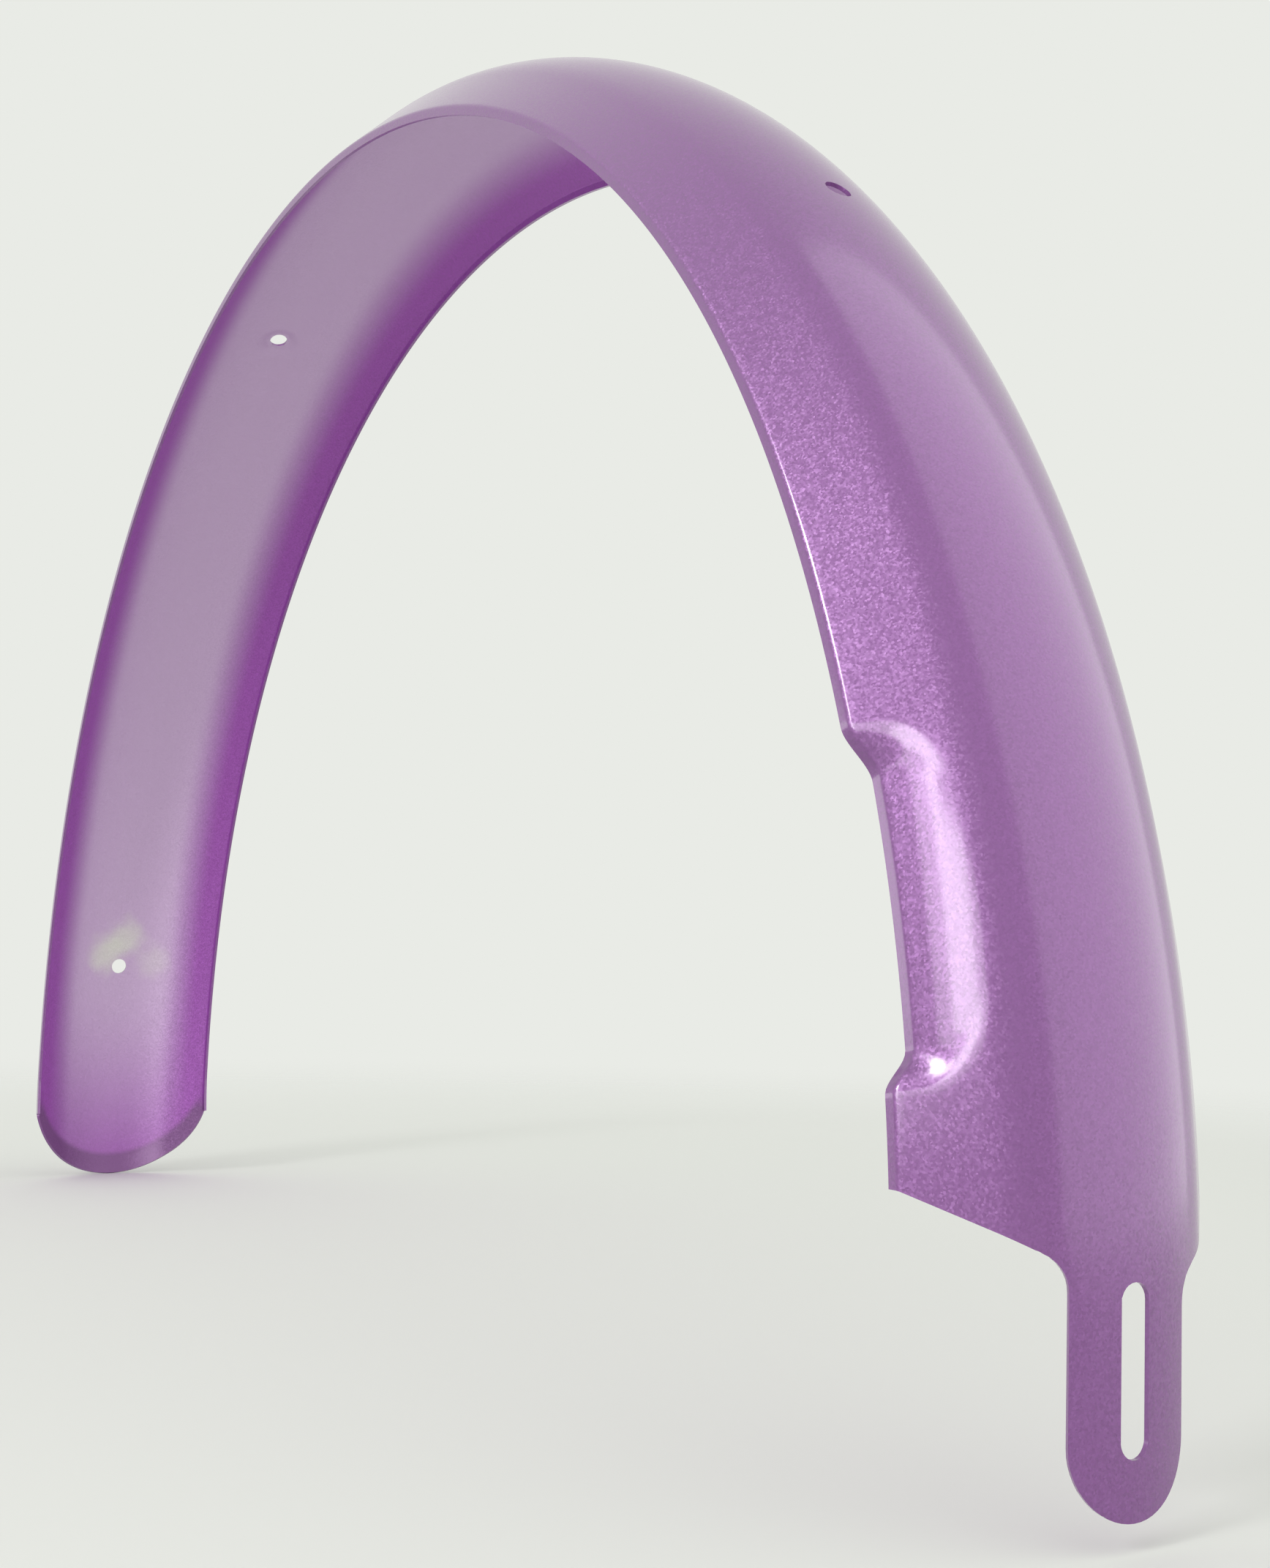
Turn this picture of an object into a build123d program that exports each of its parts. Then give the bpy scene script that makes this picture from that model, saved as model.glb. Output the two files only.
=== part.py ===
"""Rear mudguard of a bicycle with 20 inch wheels, pressed from one steel sheet.

The origin is the wheel's axle. +X points forwards, +Y to the bicycle's left and +Z up.
The arch runs round the axle from the front, where a slotted tongue hangs straight down,
over the top to a rounded end behind. A recess in the right skirt leaves room for the chain.
"""
from build123d import *
import math
import os

# Sheet and section across the arch, in millimetres and degrees
sheet = 0.8               # thickness of the steel
edge_radius = 250.0       # axle to the free edge of both lips
guard_width = 60.0        # over the outside of the lips
lip_height = 2.2          # free edge to the corner of the fold
fold_radius = 0.5         # inside the bend between skirt and lip
crown_bend = 32.0         # outside radius of the crown
crown_slope = 30.5        # where the crown's arc ends
shoulder_bend = 21.0      # outside radius between crown and skirt
skirt_slope = 44.0        # slope of the straight skirt

# Rounded rear end, with its rim turned in towards the wheel
rear_angle = 185.7        # where the rim's bend starts, round the axle from the front
rim_bend = 22.0           # radius of that bend at the crown
rim_turn = 22.0           # how far it turns, before the outline is cut
end_radius = 31.0         # of the rounded outline, seen from behind
end_centre_z = -2.7       # height of that outline's centre

# Front end with the tongue, seen from the front
cut_slope = 27.2          # of both slanted cuts
cut_right_z = 16.7        # height of the right cut at the lip
cut_left_z = 13.7         # height of the left cut at the lip
tongue_width = 22.0
tongue_drop = 29.4        # axle height down to the tip
tongue_fillet = 6.0       # where the cuts run into the tongue
slot_width = 5.3
slot_length = 25.0        # from end to end
slot_centre_z = -8.1

# Chain recess in the right skirt
recess_depth = 4.2        # how far the lip moves in
recess_low = 7.75         # middle of the lower ramp
recess_high = 18.7        # middle of the upper ramp
low_ramp = 1.5            # angle that the lower ramp takes
high_ramp = 2.8           # angle that the upper ramp takes
recess_slope = 65.0       # slope of the skirt above the lip, in the recess
recess_hinge = 0.8        # plain skirt left above the recess
ramp_hinge = 6.0          # more of it that stays plain where a ramp begins

# Bolt holes on the centre line
hole_diameter = 5.3
bridge_angle = 45.6       # bolt to the frame's bridge
upper_stay_angle = 116.5
lower_stay_angle = 171.1
dimple_diameter = 12.5    # pressed outwards round the upper stay hole
dimple_flat = 7.5         # across its top
dimple_height = 1.0

# Values that follow, and how far cuts and punched stretches reach past what they make
overrun = 5.0             # waste cut away beyond the outline
hole_reach = 3.0          # angle on each side of a hole that is made as a stretch of its own
half_width = guard_width / 2
shoulder_gap = crown_bend - shoulder_bend


def unit(angle):
    """Direction at an angle from the radius, towards +Y."""
    return Vector(math.cos(math.radians(angle)), math.sin(math.radians(angle)))


def mirrored(point, side):
    return Vector(point.X, side * point.Y)


shoulder_end_drop = crown_bend - (shoulder_gap * unit(crown_slope) + shoulder_bend * unit(skirt_slope)).X
shoulder_end_y = (shoulder_gap * unit(crown_slope) + shoulder_bend * unit(skirt_slope)).Y
skirt_drop = (half_width - shoulder_end_y) * math.tan(math.radians(skirt_slope))
fold_corner_r = edge_radius + lip_height
crown_r = fold_corner_r + skirt_drop + shoulder_end_drop


def station(angle):
    """Plane through the axle at an angle up from the front: local x is the radius, local y is +Y."""
    radial = unit(angle)
    return Plane((0, 0, 0), x_dir=(radial.X, 0, radial.Y), z_dir=(-radial.Y, 0, radial.X))


def side_edges(side, depth, inward=0.0):
    """Edges from the crown's middle to the lip's free edge, at a depth inside the outer surface.

    inward is the share of the recess's full depth, from 0 on the plain arch to 1.
    """
    crown_centre = Vector(crown_r - crown_bend, 0)
    shoulder_centre = crown_centre + shoulder_gap * unit(crown_slope)
    slope = skirt_slope + inward * (recess_slope - skirt_slope)
    lip_y = half_width - inward * recess_depth
    bend = fold_radius + sheet
    bend_centre = Vector(fold_corner_r - bend * math.tan(math.radians(90 - slope) / 2), lip_y - bend)
    down = unit(skirt_slope + 90)
    skirt_top = shoulder_centre + (shoulder_bend - depth) * unit(skirt_slope)
    hinge = skirt_top + (recess_hinge + (1 - inward) * ramp_hinge) * down
    fold_top = bend_centre + (bend - depth) * unit(slope)
    crown_top = crown_centre + (crown_bend - depth) * unit(0)
    crown_end = crown_centre + (crown_bend - depth) * unit(crown_slope)
    fold_middle = bend_centre + (bend - depth) * unit((slope + 90) / 2)
    fold_end = bend_centre + (bend - depth) * unit(90)
    lip_end = Vector(edge_radius, fold_end.Y)
    crown_middle = crown_centre + (crown_bend - depth) * unit(crown_slope / 2)
    shoulder_middle = shoulder_centre + (shoulder_bend - depth) * unit((crown_slope + skirt_slope) / 2)

    def at(point):
        return mirrored(point, side)

    if inward:
        sweep = Spline(at(hinge), at(fold_top), tangents=[at(down), at(unit(slope + 90))])
    else:
        sweep = Line(at(hinge), at(fold_top))
    return [
        ThreePointArc(at(crown_top), at(crown_middle), at(crown_end)),
        ThreePointArc(at(crown_end), at(shoulder_middle), at(skirt_top)),
        Line(at(skirt_top), at(hinge)),
        sweep,
        ThreePointArc(at(fold_top), at(fold_middle), at(fold_end)),
        Line(at(fold_end), at(lip_end)),
    ]


def outline(angle, inward=0.0):
    """The sheet's outline where it is cut at an angle round the axle, from the crown's outer middle."""

    def lip_cap(side, share):
        lip_y = half_width - share * recess_depth
        return Line((edge_radius, side * lip_y), (edge_radius, side * (lip_y - sheet)))

    edges = side_edges(1, 0) + [lip_cap(1, 0)] + side_edges(1, sheet)[::-1]
    edges += side_edges(-1, sheet, inward) + [lip_cap(-1, inward)] + side_edges(-1, 0, inward)[::-1]
    return Wire([station(angle) * edge for edge in edges], sequenced=True)


def section(angle, inward=0.0):
    """The sheet's cut face at an angle round the axle."""
    return Face(outline(angle, inward))


def rolled(start, stop):
    """Turns the plain sheet round the axle from one angle to another, for stretches that aren't cut."""
    return revolve(section(start), Axis((0, 0, 0), (0, -1, 0)), stop - start)


def arch_piece(start, stop, inward=0.0):
    """Lofts the sheet round the axle from one angle to another, for the recess and stretches that are cut."""
    steps = 2
    return Solid.make_loft([outline(start + (stop - start) * k / steps, inward) for k in range(steps + 1)])


def rear_rim():
    """Last stretch of the arch, which bends in more tightly than the arch itself."""
    radial = unit(rear_angle)
    pivot = Axis((crown_r - rim_bend) * Vector(radial.X, 0, radial.Y), (0, -1, 0))
    steps = 4
    turns = [rim_turn * step / steps for step in range(steps + 1)]
    return Solid.make_loft([outline(rear_angle).rotate(pivot, turn) for turn in turns])


def ramp(plain_angle, recess_angle):
    """Lofts the sheet between a plain section and a recessed one, easing the skirt in."""
    steps = 4
    outlines = []
    for step in range(steps + 1):
        share = step / steps
        angle = plain_angle + share * (recess_angle - plain_angle)
        outlines.append(outline(angle, share * share * (3 - 2 * share)))
    return Solid.make_loft(outlines)


def sewn(pieces):
    """Joins pieces that share whole sections, without the sections between them."""
    faces = [(face, face.center()) for piece in pieces for face in piece.faces()]

    def shared(centre):
        return sum((centre - other).length < 0.01 for _, other in faces) > 1

    return Solid(Shell([face for face, centre in faces if not shared(centre)]))


# Front end: slanted cuts, fillets into the tongue, a round tip and the slot, all cut from the front
low_start = recess_low - low_ramp / 2
low_stop = recess_low + low_ramp / 2
high_start = recess_high - high_ramp / 2
high_stop = recess_high + high_ramp / 2
tongue_half = tongue_width / 2
reach = half_width + overrun
fall = math.tan(math.radians(cut_slope))
cut_top = max(cut_left_z, cut_right_z) + overrun * fall
tip_centre_z = tongue_half - tongue_drop
left_corner_z = cut_left_z - (half_width - tongue_half) * fall
right_corner_z = cut_right_z - (half_width - tongue_half) * fall
keep = Polygon(
    (reach, cut_left_z + overrun * fall), (reach, cut_top), (-reach, cut_top),
    (-reach, cut_right_z + overrun * fall), (-tongue_half, right_corner_z), (-tongue_half, tip_centre_z),
    (tongue_half, tip_centre_z), (tongue_half, left_corner_z), align=None,
)
corners = [v for v in keep.vertices() if abs(abs(v.X) - tongue_half) < 0.01 and v.Y > tip_centre_z + 0.01]
keep = fillet(corners, tongue_fillet) + Pos(0, tip_centre_z) * Circle(tongue_half)
field = Polygon(
    (-reach, -tongue_drop - overrun), (reach, -tongue_drop - overrun), (reach, cut_top), (-reach, cut_top),
    align=None,
)
front_waste = field - keep + Pos(0, slot_centre_z) * SlotOverall(slot_length, slot_width, rotation=90)
tongue = extrude(section(0), amount=-tongue_drop)
front_end = Part() + sewn([tongue, arch_piece(0, low_start)])
front_end -= extrude(Plane.YZ.offset(crown_r / 2) * front_waste, amount=crown_r)

# Rear end: everything below its centre height that lies outside the round outline is cut away
rear_start = lower_stay_angle + hole_reach
rear_field = Pos(0, end_centre_z - crown_r / 4) * Rectangle(2 * reach, crown_r / 2)
rear_waste = rear_field - Pos(0, end_centre_z) * Circle(end_radius)
rear_end = Part() + sewn([arch_piece(rear_start, rear_angle), rear_rim()])
rear_end -= extrude(Plane.YZ.offset(-crown_r / 2) * rear_waste, amount=-crown_r)


def on_crown(angle, above=0.0):
    """Place on the crown's middle line at an angle, with local z pointing outwards."""
    radial = unit(angle)
    direction = Vector(radial.X, 0, radial.Y)
    return Plane((crown_r + above) * direction, x_dir=(0, 1, 0), z_dir=direction)


def punched(angle, dimpled=False):
    """Stretch of the arch with a bolt hole, which may sit in a dimple that is pressed outwards."""
    stretch = Part() + arch_piece(angle - hole_reach, angle + hole_reach)
    if dimpled:
        # The same cone outside and, one sheet lower, inside. It starts one sheet below the crown.
        cone = Cone(
            dimple_diameter / 2, dimple_flat / 2, dimple_height + sheet,
            align=(Align.CENTER, Align.CENTER, Align.MAX),
        )
        stretch += on_crown(angle, dimple_height) * cone
        stretch -= on_crown(angle, dimple_height - sheet) * cone
    return stretch - on_crown(angle) * Cylinder(hole_diameter / 2, 2 * dimple_diameter)


# The arch from front to rear: recess and its ramps, punched stretches and plain ones between them
recess_floor = arch_piece(low_stop, high_start, 1)
pieces = [front_end, ramp(low_start, low_stop), recess_floor, ramp(high_stop, high_start)]
reached = high_stop
for angle in (bridge_angle, upper_stay_angle, lower_stay_angle):
    pieces.append(rolled(reached, angle - hole_reach))
    pieces.append(punched(angle, dimpled=angle == upper_stay_angle))
    reached = angle + hole_reach
pieces.append(rear_end)
mudguard = sewn(pieces)

os.makedirs("parts", exist_ok=True)
export_step(mudguard, "parts/mudguard.step")
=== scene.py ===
"""Rear mudguard of a bicycle with 20 inch wheels, dressed for a studio picture.

The frame is the part's own: the origin lies on the wheel's axle, +X points forwards, +Y to the
bicycle's left and +Z up. Shapes are worked out in millimetres and scaled to metres at the end.
"""
import math

import bmesh
import bpy
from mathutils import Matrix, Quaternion, Vector


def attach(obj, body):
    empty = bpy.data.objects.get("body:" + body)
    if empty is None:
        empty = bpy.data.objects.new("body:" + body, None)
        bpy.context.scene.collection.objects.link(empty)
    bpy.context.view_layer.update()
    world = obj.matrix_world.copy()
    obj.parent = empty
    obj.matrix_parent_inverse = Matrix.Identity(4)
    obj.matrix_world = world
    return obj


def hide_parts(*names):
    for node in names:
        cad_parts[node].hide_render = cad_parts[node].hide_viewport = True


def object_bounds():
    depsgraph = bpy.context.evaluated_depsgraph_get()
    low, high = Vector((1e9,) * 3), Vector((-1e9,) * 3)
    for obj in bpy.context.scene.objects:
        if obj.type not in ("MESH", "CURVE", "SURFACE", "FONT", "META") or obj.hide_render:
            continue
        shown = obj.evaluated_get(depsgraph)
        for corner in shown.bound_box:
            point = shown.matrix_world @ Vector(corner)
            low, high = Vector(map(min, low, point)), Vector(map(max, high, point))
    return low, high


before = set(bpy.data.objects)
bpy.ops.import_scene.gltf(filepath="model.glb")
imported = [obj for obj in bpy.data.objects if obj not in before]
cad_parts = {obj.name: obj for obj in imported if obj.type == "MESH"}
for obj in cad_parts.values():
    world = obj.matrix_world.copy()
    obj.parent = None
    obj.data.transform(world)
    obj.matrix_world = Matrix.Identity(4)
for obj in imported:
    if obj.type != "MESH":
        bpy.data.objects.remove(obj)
cad_low, cad_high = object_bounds()

# The pressed sheet: a strip of 0.8 mm steel, rolled into an arch round the wheel. Across, it has a
# round crown, two tighter shoulders and two straight skirts, and each free edge is folded into a
# short lip that stiffens it.
MM = 0.001
SHEET = 0.8
EDGE_RADIUS = 250.0
HALF_WIDTH = 30.0
LIP_HEIGHT = 2.2
FOLD_BEND = 1.3
CROWN_BEND = 32.0
CROWN_SLOPE = 30.5
SHOULDER_BEND = 21.0
SKIRT_SLOPE = 44.0
crown_radius = cad_high.z / MM


def toward(angle):
    """Direction in the section's plane, at an angle from the radius towards the side."""
    return Vector((math.cos(math.radians(angle)), math.sin(math.radians(angle)), 0))


fold_turn = 90 - SKIRT_SLOPE
fold_setback = FOLD_BEND * math.tan(math.radians(fold_turn / 2))
crown_centre = Vector((crown_radius - CROWN_BEND, 0, 0))
shoulder_centre = crown_centre + (CROWN_BEND - SHOULDER_BEND) * toward(CROWN_SLOPE)
skirt_top = shoulder_centre + SHOULDER_BEND * toward(SKIRT_SLOPE)
fold_centre = Vector((EDGE_RADIUS + LIP_HEIGHT - fold_setback, HALF_WIDTH - FOLD_BEND, 0))
fold_top = fold_centre + FOLD_BEND * toward(SKIRT_SLOPE)
lip_end = Vector((EDGE_RADIUS, HALF_WIDTH, 0))

guard = bmesh.new()


def draw_on(last, centre=(0, 0, 0), turn=0.0, run=(0, 0, 0), steps=1):
    """Draws the section on from its last vertex, round a centre or along a straight run."""
    drawn = bmesh.ops.spin(
        guard, geom=[last], cent=centre, axis=(0, 0, 1), angle=math.radians(turn),
        dvec=Vector(run) / steps, steps=steps,
    )
    return next(v for v in drawn["geom_last"] if isinstance(v, bmesh.types.BMVert))


last = guard.verts.new((crown_radius, 0, 0))
last = draw_on(last, crown_centre, turn=CROWN_SLOPE, steps=12)
last = draw_on(last, shoulder_centre, turn=SKIRT_SLOPE - CROWN_SLOPE, steps=6)
last = draw_on(last, run=fold_top - skirt_top, steps=13)
last = draw_on(last, fold_centre, turn=fold_turn, steps=5)
last = draw_on(last, run=lip_end - last.co, steps=2)
bmesh.ops.mirror(guard, geom=guard.verts[:] + guard.edges[:], axis="Y", merge_dist=0.01)
section = guard.edges[:]

# The strip is rolled in stretches, with short steps where something is pressed or punched into it.
ROLLED_TO = (
    (5.5, 0.5), (22.0, 0.16), (43.0, 0.7), (48.2, 0.25), (113.0, 0.7),
    (120.0, 0.2), (168.5, 0.7), (173.7, 0.25), (179.5, 0.5), (189.0, 0.25),
)
angle, rolling = 0.0, section
for stop, step in ROLLED_TO:
    rolled = bmesh.ops.spin(
        guard, geom=rolling, cent=(0, 0, 0), axis=(0, -1, 0), angle=math.radians(stop - angle),
        steps=round((stop - angle) / step),
    )
    rolling = [edge for edge in rolled["geom_last"] if isinstance(edge, bmesh.types.BMEdge)]
    angle = stop

# At the front the crown runs on straight down and becomes the tongue that is bolted to the frame. It
# starts too wide and too long, and the cuts below trim it.
TONGUE_HALF = 11.0
TONGUE_DROP = 29.4
SIDE_WASTE, TIP_WASTE = 12.0, 2.0
TONGUE_STEPS = 26
root_half = TONGUE_HALF + SIDE_WASTE
tongue_root = [e for e in section if max(abs(v.co.y) for v in e.verts) < root_half]
bmesh.ops.spin(
    guard, geom=tongue_root, cent=(0, 0, 0), axis=(0, 0, 1), angle=0,
    dvec=(0, 0, -(TONGUE_DROP + TIP_WASTE) / TONGUE_STEPS), steps=TONGUE_STEPS,
)
bmesh.ops.recalc_face_normals(guard, faces=guard.faces)
top_face = max(guard.faces, key=lambda face: face.calc_center_median().z)
if top_face.normal.z < 0:
    bmesh.ops.reverse_faces(guard, faces=guard.faces)

BLADE_MARGIN = 3.0


def shear(line, direction, dropped):
    """Cuts the sheet along a line, like a blade that moves in a direction, and drops the waste."""
    direction = Vector(direction)
    for start, stop in zip(line, line[1:]):
        middle = (start + stop) / 2
        reach = (stop - start).length / 2 + BLADE_MARGIN
        faces = []
        for face in guard.faces:
            offset = face.calc_center_median() - middle
            along = offset.dot(direction)
            if along + middle.dot(direction) > 0 and (offset - along * direction).length < reach:
                faces.append(face)
        edges = [edge for face in faces for edge in face.edges]
        verts = [vert for face in faces for vert in face.verts]
        bmesh.ops.bisect_plane(
            guard, geom=list(dict.fromkeys(verts + edges + faces)), dist=0.002, plane_co=start,
            plane_no=(stop - start).cross(direction).normalized(),
        )
    waste = [face for face in guard.faces if dropped(face.calc_center_median())]
    bmesh.ops.delete(guard, geom=waste, context="FACES")


def arc(centre, radius, start, stop, steps):
    """Points on an arc in the Y-Z plane, seen from the front, from one angle to another."""
    points = []
    for step in range(steps + 1):
        turn = math.radians(start + (stop - start) * step / steps)
        across, up = radius * math.cos(turn), radius * math.sin(turn)
        points.append(Vector((0, centre[0] + across, centre[1] + up)))
    return points


# Front outline, sheared from the front: a slanted cut on each side, rounded into the tongue, and the
# tongue's round tip. The left cut sits a little lower than the right one.
CUT_SLOPE = 27.2
CUT_RIGHT_Z = 16.7
CUT_LEFT_Z = 13.7
TONGUE_FILLET = 6.0
OVERRUN = 4.0
cut_fall = math.tan(math.radians(CUT_SLOPE))
fillet_y = TONGUE_HALF + TONGUE_FILLET
tip_z = TONGUE_HALF - TONGUE_DROP


def slanted_cut(side, lip_z):
    """One side of the front outline, from beyond the lip to the straight edge of the tongue."""
    outer = Vector((0, side * (HALF_WIDTH + OVERRUN), lip_z + OVERRUN * cut_fall))
    drop_at_fillet = (HALF_WIDTH - fillet_y) * cut_fall
    centre_z = lip_z - drop_at_fillet - TONGUE_FILLET / math.cos(math.radians(CUT_SLOPE))
    corner = arc((fillet_y, centre_z), TONGUE_FILLET, 90 + CUT_SLOPE, 180, 7)
    for point in corner:
        point.y *= side
    return [outer] + corner


right_cut = slanted_cut(-1, CUT_RIGHT_Z)
left_cut = slanted_cut(1, CUT_LEFT_Z)
front_line = right_cut + arc((0, tip_z), TONGUE_HALF, 180, 360, 28) + left_cut[::-1]


def inside(point, line):
    """Whether a point lies inside a closed line, seen along X."""
    crossings = 0
    for start, stop in zip(line, line[1:] + line[:1]):
        if (start.z > point.z) != (stop.z > point.z):
            share = (point.z - start.z) / (stop.z - start.z)
            crossings += start.y + share * (stop.y - start.y) > point.y
    return crossings % 2 == 1


KEPT_TO_Z, CUT_BELOW_Z = 60.0, 50.0
above = [Vector((0, side * (HALF_WIDTH + OVERRUN), KEPT_TO_Z)) for side in (1, -1)]
front_keep = front_line + above


def past_front(point):
    """Whether a point of the sheet lies past the front outline."""
    return point.x > 0 and point.z < CUT_BELOW_Z and not inside(point, front_keep)


shear(front_line, (1, 0, 0), past_front)

# Slot in the tongue, punched from the front, so that the guard can be set up and down on its bolt
SLOT_HALF = 2.65
SLOT_LENGTH = 25.0
SLOT_Z = -8.1
slot_reach = SLOT_LENGTH / 2 - SLOT_HALF
slot_line = arc((0, SLOT_Z + slot_reach), SLOT_HALF, 0, 180, 12)
slot_line += arc((0, SLOT_Z - slot_reach), SLOT_HALF, 180, 360, 12)
slot_line.append(slot_line[0].copy())
shear(slot_line, (1, 0, 0), lambda p: p.x > 0 and inside(p, slot_line))

# Rounded rear end, sheared from behind
END_RADIUS = 31.0
END_CENTRE_Z = -2.7
CUT_SLACK = 0.05
end_line = arc((0, END_CENTRE_Z), END_RADIUS, 180, 360, 60)


def past_end(point):
    """Whether a point of the sheet lies past the outline of the rear end."""
    from_centre = math.hypot(point.y, point.z - END_CENTRE_Z)
    return point.x < 0 and point.z < END_CENTRE_Z and from_centre > END_RADIUS - CUT_SLACK


shear(end_line, (-1, 0, 0), past_end)

# Three holes for M5 bolts, punched through the crown on its centre line: one for the frame's bridge
# and two for the stays. The upper stay hole sits in a shallow dimple that is pressed outwards.
HOLE_RADIUS = 2.65
HOLE_ANGLES = (45.6, 116.5, 171.1)
HOLE_STEPS = 28
DIMPLE_RADIUS = 6.4
DIMPLE_SLOPE = 2.8
DIMPLE_HEIGHT = 1.0


def smooth_step(share):
    """Eases from 0 to 1, with no kink at either end."""
    share = min(max(share, 0), 1)
    return share * share * (3 - 2 * share)


def from_axis(point, direction):
    """How far a point lies from the line through the axle in a direction."""
    return (point - point.dot(direction) * direction).length


def radial(angle):
    """Direction from the axle at an angle up from the front."""
    return Vector((math.cos(math.radians(angle)), 0, math.sin(math.radians(angle))))


for angle in HOLE_ANGLES:
    out = radial(angle)
    across = Vector((0, HOLE_RADIUS, 0))
    turns = [math.tau * step / HOLE_STEPS for step in range(HOLE_STEPS + 1)]
    hole_line = [Quaternion(out, turn) @ across for turn in turns]
    shear(hole_line, out, lambda p: p.dot(out) > 0 and from_axis(p, out) < HOLE_RADIUS - CUT_SLACK)

# Slivers that the cuts leave are merged away, or the sheet would buckle there.
bmesh.ops.remove_doubles(guard, verts=guard.verts, dist=0.08)
bmesh.ops.dissolve_degenerate(guard, dist=0.05, edges=guard.edges)

dimple_axis = radial(HOLE_ANGLES[1])
for vert in guard.verts:
    if vert.co.dot(dimple_axis) > 0 and from_axis(vert.co, dimple_axis) < DIMPLE_RADIUS:
        raised = smooth_step((DIMPLE_RADIUS - from_axis(vert.co, dimple_axis)) / DIMPLE_SLOPE)
        vert.co += DIMPLE_HEIGHT * raised * dimple_axis

# Chain recess: the right skirt is pressed in between two ramps, so that the chain clears it. The
# corners of the pressing are round, and the upper ramp is longer than the lower one.
RECESS_DEPTH = 4.2
RECESS_TOP_Y = 17.8
RECESS_BLEND = 9.0
UPPER_END, UPPER_RAMP = 19.9, 2.0
LOWER_END, LOWER_RAMP = 6.9, 1.5
CORNER_HEIGHT = 9.0
UPPER_CORNER, LOWER_CORNER = 2.0, 2.8


def recess_push(point):
    """How far a point of the right skirt is pressed in."""
    side = -point.y - RECESS_TOP_Y
    if point.x < 0 or side <= 0:
        return 0.0
    angle = math.degrees(math.atan2(point.z, point.x))
    corner = max(0.0, 1 - side / CORNER_HEIGHT) ** 2
    upper = smooth_step((UPPER_END - UPPER_CORNER * corner - angle) / UPPER_RAMP)
    lower = smooth_step((angle - LOWER_END - LOWER_CORNER * corner) / LOWER_RAMP)
    if side < RECESS_BLEND:
        reach = side * side / (2 * RECESS_BLEND)
    else:
        reach = side - RECESS_BLEND / 2
    full = HALF_WIDTH - RECESS_TOP_Y - RECESS_BLEND / 2
    return RECESS_DEPTH * upper * lower * reach / full


for vert in guard.verts:
    vert.co.y += recess_push(vert.co)

# Rim of the rear end: a crescent along the round outline is turned in towards the wheel.
CREASE_RADIUS = 29.1
CREASE_CENTRE_Z = 2.15
RIM_SLOPE = 0.33
RIM_BEND = 1.4
for vert in guard.verts:
    if vert.co.x < 0 and vert.co.z < 0:
        beyond = math.hypot(vert.co.y, vert.co.z - CREASE_CENTRE_Z) - CREASE_RADIUS
        if beyond > RIM_BEND:
            vert.co.x += RIM_SLOPE * (beyond - RIM_BEND / 2)
        elif beyond > 0:
            vert.co.x += RIM_SLOPE * beyond * beyond / (2 * RIM_BEND)

bmesh.ops.scale(guard, vec=(MM, MM, MM), verts=guard.verts)
sheet_mesh = bpy.data.meshes.new("pressed_sheet")
guard.to_mesh(sheet_mesh)
guard.free()
sheet_mesh.shade_smooth()
pressed_sheet = bpy.data.objects.new("pressed_sheet", sheet_mesh)
bpy.context.scene.collection.objects.link(pressed_sheet)

# The sheet gets its thickness inwards, and its cut edges are broken a little.
BURR_WIDTH = 0.2
SHARP_FROM = 50.0
thickness = pressed_sheet.modifiers.new("sheet thickness", "SOLIDIFY")
thickness.thickness = SHEET * MM
thickness.offset = -1
thickness.material_offset = 1
burr = pressed_sheet.modifiers.new("broken edges", "BEVEL")
burr.width = BURR_WIDTH * MM
burr.segments = 2
burr.limit_method = "ANGLE"
burr.angle_limit = math.radians(SHARP_FROM)
burr.harden_normals = True

# Metallic lacquer on the outside: purple paint with aluminium flake under a glossy clear coat. The
# coat mirrors the lamps, and each flake tips the light its own way, so the colour sparkles round
# them. Real flake is a few hundredths of a millimetre wide: it is drawn coarser, so that it shows.
FLAKE_SIZE = 0.35 * MM
FLAKE_TILT = 0.24


def linear(code):
    """Linear colour, with alpha, of an sRGB hex code."""
    values = [int(code[place:place + 2], 16) / 255 for place in (1, 3, 5)]
    return [v / 12.92 if v <= 0.04045 else ((v + 0.055) / 1.055) ** 2.4 for v in values] + [1.0]


def add(material, kind, settings=None, **inputs):
    """Adds a node to a material or world. Inputs are values or the sockets of other nodes."""
    node = material.node_tree.nodes.new(kind)
    for name, value in (settings or {}).items():
        setattr(node, name, value)
    for name, value in inputs.items():
        socket = node.inputs[int(name[1:]) if name[1:].isdigit() else name.replace("_", " ")]
        if isinstance(value, bpy.types.NodeSocket):
            material.node_tree.links.new(value, socket)
        else:
            socket.default_value = value
    return node


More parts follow.
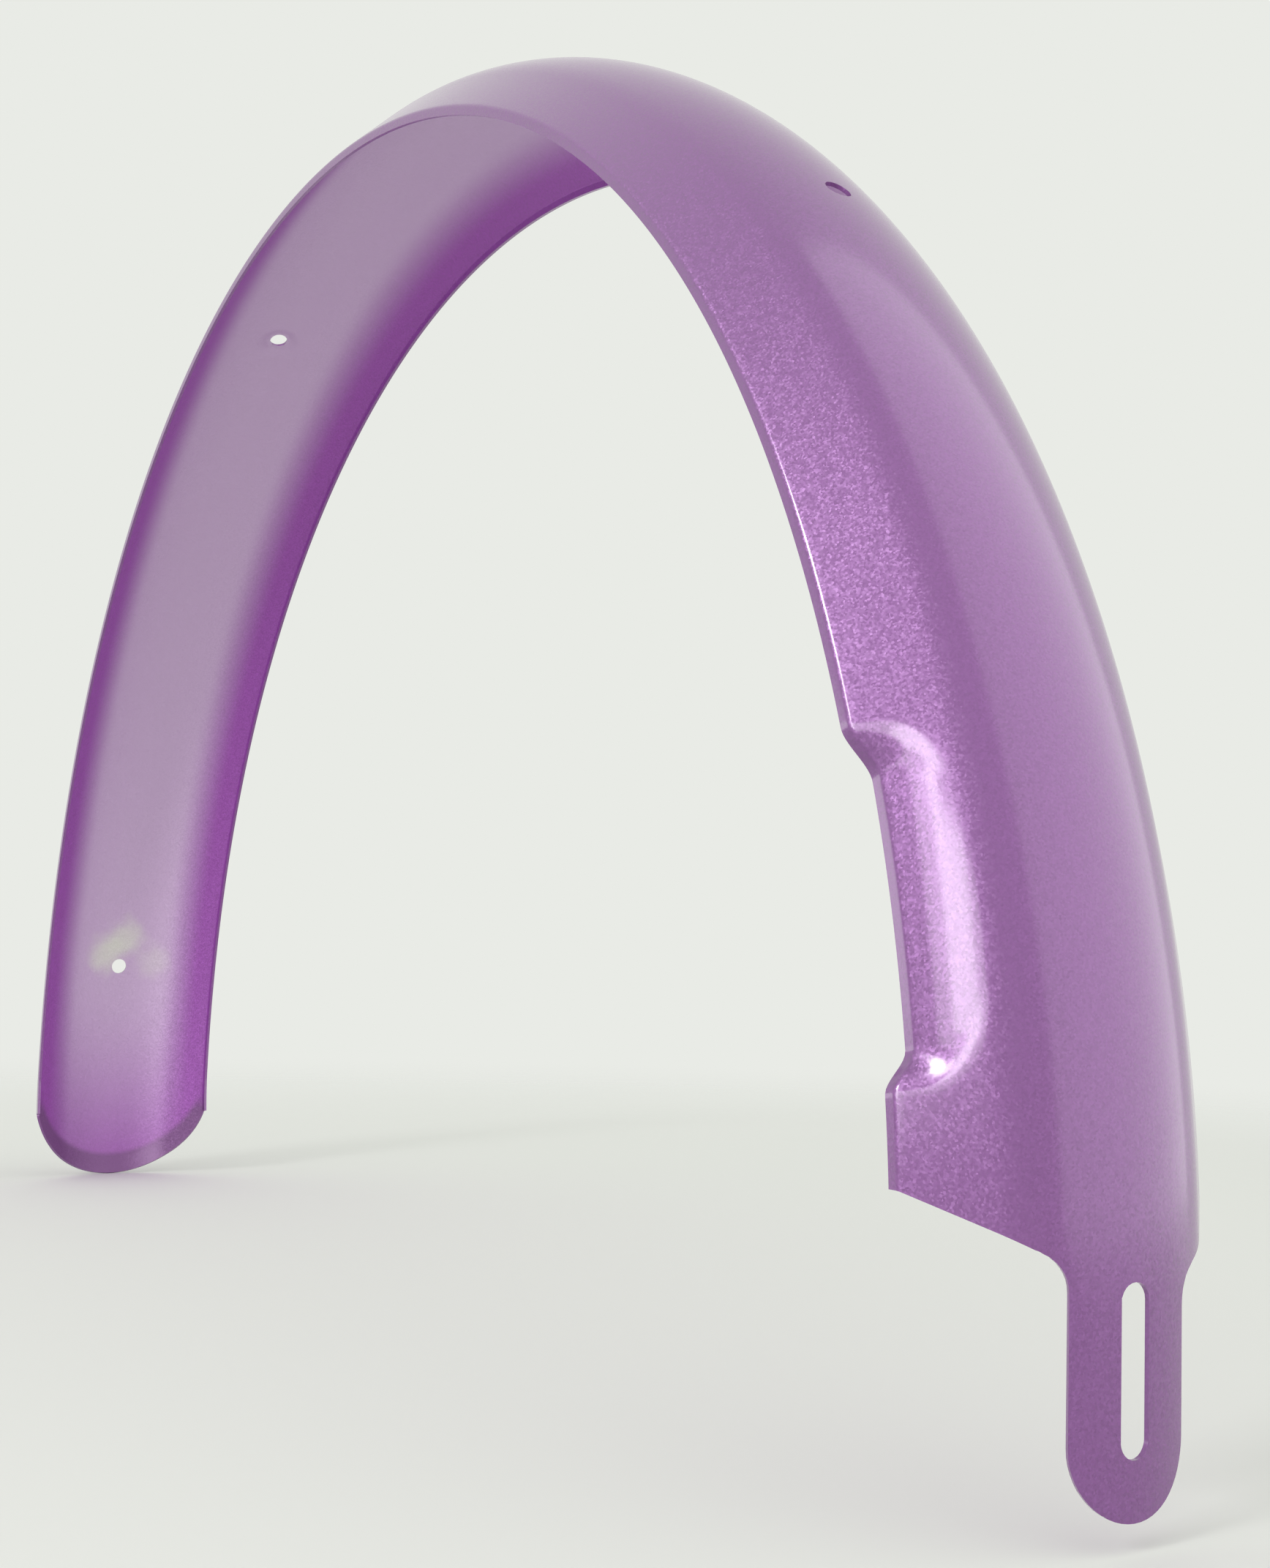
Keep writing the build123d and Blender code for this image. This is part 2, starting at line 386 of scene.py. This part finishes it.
def flake_lacquer(name, dark, pale):
    """Flake lacquer between two hex colours. Gives the material, its shader and its colour mix."""
    material = bpy.data.materials.new(name)
    material.use_nodes = True
    shader = material.node_tree.nodes["Principled BSDF"]
    place = add(material, "ShaderNodeTexCoord").outputs["Object"]
    flake = add(material, "ShaderNodeTexVoronoi", Vector=place, Scale=1 / FLAKE_SIZE)
    tone = add(material, "ShaderNodeSeparateColor", Color=flake.outputs["Color"])
    colour = add(
        material, "ShaderNodeMix", {"data_type": "RGBA"}, Factor=tone.outputs["Red"],
        i6=linear(dark), i7=linear(pale),
    )
    centred = add(
        material, "ShaderNodeVectorMath", {"operation": "SUBTRACT"}, i0=flake.outputs["Color"],
        i1=(0.5, 0.5, 0.5),
    )
    tipped = add(
        material, "ShaderNodeVectorMath", {"operation": "SCALE"}, i0=centred.outputs[0],
        Scale=FLAKE_TILT,
    )
    surface = add(material, "ShaderNodeNewGeometry")
    leaned = add(
        material, "ShaderNodeVectorMath", {"operation": "ADD"}, i0=surface.outputs["Normal"],
        i1=tipped.outputs[0],
    )
    level = add(
        material, "ShaderNodeVectorMath", {"operation": "NORMALIZE"}, i0=leaned.outputs[0],
    )
    material.node_tree.links.new(level.outputs[0], shader.inputs["Normal"])
    material.node_tree.links.new(colour.outputs[2], shader.inputs["Base Color"])
    shader.inputs["Metallic"].default_value = 0.25
    shader.inputs["Roughness"].default_value = 0.45
    shader.inputs["Specular IOR Level"].default_value = 0.6
    shader.inputs["Coat Weight"].default_value = 1.0
    shader.inputs["Coat IOR"].default_value = 1.5
    shader.inputs["Coat Roughness"].default_value = 0.15
    return material, shader, colour


outside_lacquer = flake_lacquer("purple flake lacquer", "#763B83", "#80438E")[0]
sheet_mesh.materials.append(outside_lacquer)

# The same lacquer inside, deep and full along the edges and at the rear end. Along the middle it is
# painted a pale, dull lilac, more so higher up: a painted sheen that stands in for the bright
# surround mirrored there. The turned-in rim is painted a shade darker, as painted shade, and a chalky
# smear lies round the lower stay hole.
SHEEN_REACH, SHEEN_EDGE = 14 * MM, 26 * MM
SHEEN_NONE_BELOW, SHEEN_FULL_ABOVE = -48 * MM, 42 * MM
RIM_FROM_Z, RIM_FULL_Z = -4 * MM, -10 * MM
RIM_STARTS, RIM_FULL = (CREASE_RADIUS - 1.5) * MM, (CREASE_RADIUS + 1.0) * MM
SMEARS = (
    ((-0.2655, -0.006, 0.0465), 10 * MM, 0.75),
    ((-0.2655, 0.001, 0.0525), 10 * MM, 0.7),
    ((-0.2655, 0.013, 0.0445), 10 * MM, 0.4),
)
SMEAR_RAGGED = 9 * MM
SMEAR_CORE, SMEAR_HALO = 0.6, 1.5
inside_lacquer, inside_shader, spray = flake_lacquer("inside flake lacquer with painted sheen", "#90449F", "#9A4AAC")
inside_place = add(inside_lacquer, "ShaderNodeTexCoord").outputs["Object"]
inside_axes = add(inside_lacquer, "ShaderNodeSeparateXYZ", Vector=inside_place).outputs
from_middle = add(inside_lacquer, "ShaderNodeMath", {"operation": "ABSOLUTE"}, i0=inside_axes["Y"])
sheen_with_height = add(
    inside_lacquer, "ShaderNodeMapRange", {"interpolation_type": "SMOOTHSTEP"},
    Value=inside_axes["Z"], From_Min=SHEEN_NONE_BELOW, From_Max=SHEEN_FULL_ABOVE,
)
painted_sheen = add(
    inside_lacquer, "ShaderNodeMapRange", {"interpolation_type": "SMOOTHSTEP"},
    Value=from_middle.outputs["Value"], From_Min=SHEEN_REACH, From_Max=SHEEN_EDGE,
    To_Min=sheen_with_height.outputs["Result"], To_Max=0.0,
)
# Painted sheen: the middle is mixed towards pale lilac, as a mirrored bright surround would show,
# fading out towards the sides and towards the bottom.
tint = add(
    inside_lacquer, "ShaderNodeMix", {"data_type": "RGBA"}, Factor=painted_sheen.outputs["Result"],
    i6=spray.outputs[2], i7=linear("#C6ABCE"),
)
# Painted shade on the turned-in rim: a crescent along the rear outline is mixed towards a darker
# purple, which stands in for the shade that it lies in.
across_end = add(
    inside_lacquer, "ShaderNodeVectorMath", {"operation": "MULTIPLY"}, i0=inside_place,
    i1=(0, 1, 1),
)
from_crease = add(
    inside_lacquer, "ShaderNodeVectorMath", {"operation": "DISTANCE"}, i0=across_end.outputs[0],
    i1=(0, 0, CREASE_CENTRE_Z * MM),
)
rim_shade_at_end = add(
    inside_lacquer, "ShaderNodeMapRange", Value=inside_axes["Z"], From_Min=RIM_FROM_Z,
    From_Max=RIM_FULL_Z,
)
painted_rim_shade = add(
    inside_lacquer, "ShaderNodeMapRange", {"interpolation_type": "SMOOTHSTEP"},
    Value=from_crease.outputs["Value"], From_Min=RIM_STARTS, From_Max=RIM_FULL,
    To_Max=rim_shade_at_end.outputs["Result"],
)
tint = add(
    inside_lacquer, "ShaderNodeMix", {"data_type": "RGBA"}, Factor=painted_rim_shade.outputs["Result"],
    i6=tint.outputs[2], i7=linear("#76467F"),
)
ragged = add(inside_lacquer, "ShaderNodeTexNoise", Vector=inside_place, Scale=1 / SMEAR_RAGGED)
for centre, radius, strength in SMEARS:
    distance = add(
        inside_lacquer, "ShaderNodeVectorMath", {"operation": "DISTANCE"}, i0=inside_place,
        i1=centre,
    )
    border = add(
        inside_lacquer, "ShaderNodeMath", {"operation": "MULTIPLY_ADD"}, i0=ragged.outputs["Fac"],
        i1=SMEAR_RAGGED, i2=distance.outputs["Value"],
    )
    smear = add(
        inside_lacquer, "ShaderNodeMapRange", {"interpolation_type": "SMOOTHSTEP"},
        Value=border.outputs["Value"], From_Min=SMEAR_CORE * radius, From_Max=SMEAR_HALO * radius,
        To_Min=strength, To_Max=0.0,
    )
    tint = add(
        inside_lacquer, "ShaderNodeMix", {"data_type": "RGBA"}, Factor=smear.outputs["Result"],
        i6=tint.outputs[2], i7=linear("#D8DACE"),
    )
inside_lacquer.node_tree.links.new(tint.outputs[2], inside_shader.inputs["Base Color"])
inside_shader.inputs["Roughness"].default_value = 0.55
inside_shader.inputs["Specular IOR Level"].default_value = 0.4
inside_shader.inputs["Coat Weight"].default_value = 0.4
inside_shader.inputs["Coat Roughness"].default_value = 0.45
sheet_mesh.materials.append(inside_lacquer)

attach(pressed_sheet, "root")
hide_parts("mudguard")

# Studio floor: a sheet of matt pale paper that the mudguard stands on. It fades out all round, so
# that it runs into the surround without an edge.
FLOOR_SIZE = 6.0
FADE_START, FADE_STOP = 0.3, 1.1
floor_bm = bmesh.new()
bmesh.ops.create_grid(floor_bm, x_segments=1, y_segments=1, size=FLOOR_SIZE)
bmesh.ops.translate(floor_bm, vec=(0, 0, cad_low.z), verts=floor_bm.verts)
floor_mesh = bpy.data.meshes.new("studio_floor")
floor_bm.to_mesh(floor_mesh)
floor_bm.free()
studio_floor = bpy.data.objects.new("studio_floor", floor_mesh)
bpy.context.scene.collection.objects.link(studio_floor)
white_paper = bpy.data.materials.new("white paper")
white_paper.use_nodes = True
paper_shader = white_paper.node_tree.nodes["Principled BSDF"]
paper_shader.inputs["Base Color"].default_value = linear("#E4E5E2")
paper_shader.inputs["Roughness"].default_value = 0.9
paper_place = add(white_paper, "ShaderNodeTexCoord").outputs["Object"]
paper_reach = add(white_paper, "ShaderNodeVectorMath", {"operation": "LENGTH"}, i0=paper_place)
paper_fade = add(
    white_paper, "ShaderNodeMapRange", {"interpolation_type": "SMOOTHSTEP"},
    Value=paper_reach.outputs["Value"], From_Min=FADE_START, From_Max=FADE_STOP,
)
clear = add(white_paper, "ShaderNodeBsdfTransparent")
faded = add(
    white_paper, "ShaderNodeMixShader", i0=paper_fade.outputs["Result"],
    i1=paper_shader.outputs["BSDF"], i2=clear.outputs["BSDF"],
)
paper_output = white_paper.node_tree.nodes["Material Output"]
white_paper.node_tree.links.new(faded.outputs["Shader"], paper_output.inputs["Surface"])
floor_mesh.materials.append(white_paper)

# The surround: pale paper all round, at its own brightness where it is seen or mirrored. The light
# that it casts is a little stronger, as from a lit room.
SURROUND_PAPER = "#E9EBE6"
ROOM_LEVEL = 1.08
world = bpy.data.worlds.new("studio")
world.use_nodes = True
surround = world.node_tree.nodes["Background"]
surround.inputs["Color"].default_value = linear(SURROUND_PAPER)
rays = add(world, "ShaderNodeLightPath")
shiny = add(
    world, "ShaderNodeMath", {"operation": "MAXIMUM"}, i0=rays.outputs["Is Glossy Ray"],
    i1=rays.outputs["Is Transmission Ray"],
)
seen = add(
    world, "ShaderNodeMath", {"operation": "MAXIMUM"}, i0=rays.outputs["Is Camera Ray"],
    i1=shiny.outputs["Value"],
)
level = add(world, "ShaderNodeMix", Factor=seen.outputs["Value"], A=ROOM_LEVEL, B=1.0)
world.node_tree.links.new(level.outputs["Result"], surround.inputs["Strength"])
bpy.context.scene.world = world

# Lamps on the right: a soft one lights the mudguard, and the others are only mirrored in its lacquer.
# The tall and wide ones show along the recess, the flake lamp on the skirt and the side lamp on the
# lip. The window is a wall of light on the left, whose edge draws the line along the shoulder.
LAMP_AIM = (0.25, -0.02, 0.06)
WINDOW_AIM = (9.83, -1.20, 9.0)


def lamp(name, width, height, radiance, azimuth, elevation, distance, aim=LAMP_AIM, lights=True):
    """A rectangular lamp of some radiance, in a direction from what it is aimed at."""
    light = bpy.data.lights.new(name, "AREA")
    light.shape = "RECTANGLE"
    light.size, light.size_y = width, height
    light.energy = radiance * math.pi * width * height
    holder = bpy.data.objects.new(name, light)
    turn, rise = math.radians(azimuth), math.radians(elevation)
    level = math.cos(rise)
    direction = Vector((level * math.cos(turn), level * math.sin(turn), math.sin(rise)))
    holder.location = Vector(aim) + distance * direction
    holder.rotation_euler = (-direction).to_track_quat("-Z", "Y").to_euler()
    holder.visible_camera = False
    holder.visible_diffuse = lights
    bpy.context.scene.collection.objects.link(holder)


lamp("soft_lamp", 0.24, 0.30, 14.0, azimuth=-78, elevation=32, distance=1.2)
lamp("tall_lamp", 0.34, 0.44, 6.4, azimuth=-68, elevation=14, distance=1.2, lights=False)
lamp("wide_lamp", 0.85, 0.48, 3.8, azimuth=-70, elevation=13, distance=1.25, lights=False)
lamp("flake_lamp", 0.28, 0.28, 38.0, azimuth=-88, elevation=40, distance=1.2, lights=False)
lamp("side_lamp", 0.70, 0.24, 2.2, azimuth=-143, elevation=2, distance=1.2, lights=False)
lamp(
    "window", 20.0, 20.0, 1.15, azimuth=83, elevation=8, distance=0.5, aim=WINDOW_AIM,
    lights=False,
)

# Camera: close by in front on the right, at the height of the axle, as in the photograph, which was
# cropped off centre. Its focal length and crop are in pixels of the 1736 by 2143 picture.
PICTURE_HEIGHT = 2143
FOCAL_PIXELS = 2747.5
CROP_PIXELS = 162
CAMERA_PLACE = Vector((0.48592, -0.20680, 0.04914))
CAMERA_AIM = Vector((0.23449, -0.04526, 0.07540))
CAMERA_ROLL = 1.38
lens = bpy.data.cameras.new("camera")
lens.sensor_width = 36
lens.lens = FOCAL_PIXELS / PICTURE_HEIGHT * lens.sensor_width
lens.shift_x = -CROP_PIXELS / PICTURE_HEIGHT
lens.clip_start = 0.01
camera = bpy.data.objects.new("camera", lens)
camera.location = CAMERA_PLACE
aimed = (CAMERA_AIM - CAMERA_PLACE).to_track_quat("-Z", "Y")
camera.rotation_mode = "QUATERNION"
camera.rotation_quaternion = aimed @ Quaternion((0, 0, 1), math.radians(CAMERA_ROLL))
bpy.context.scene.collection.objects.link(camera)
bpy.context.scene.camera = camera
bpy.context.scene.view_settings.view_transform = "Standard"
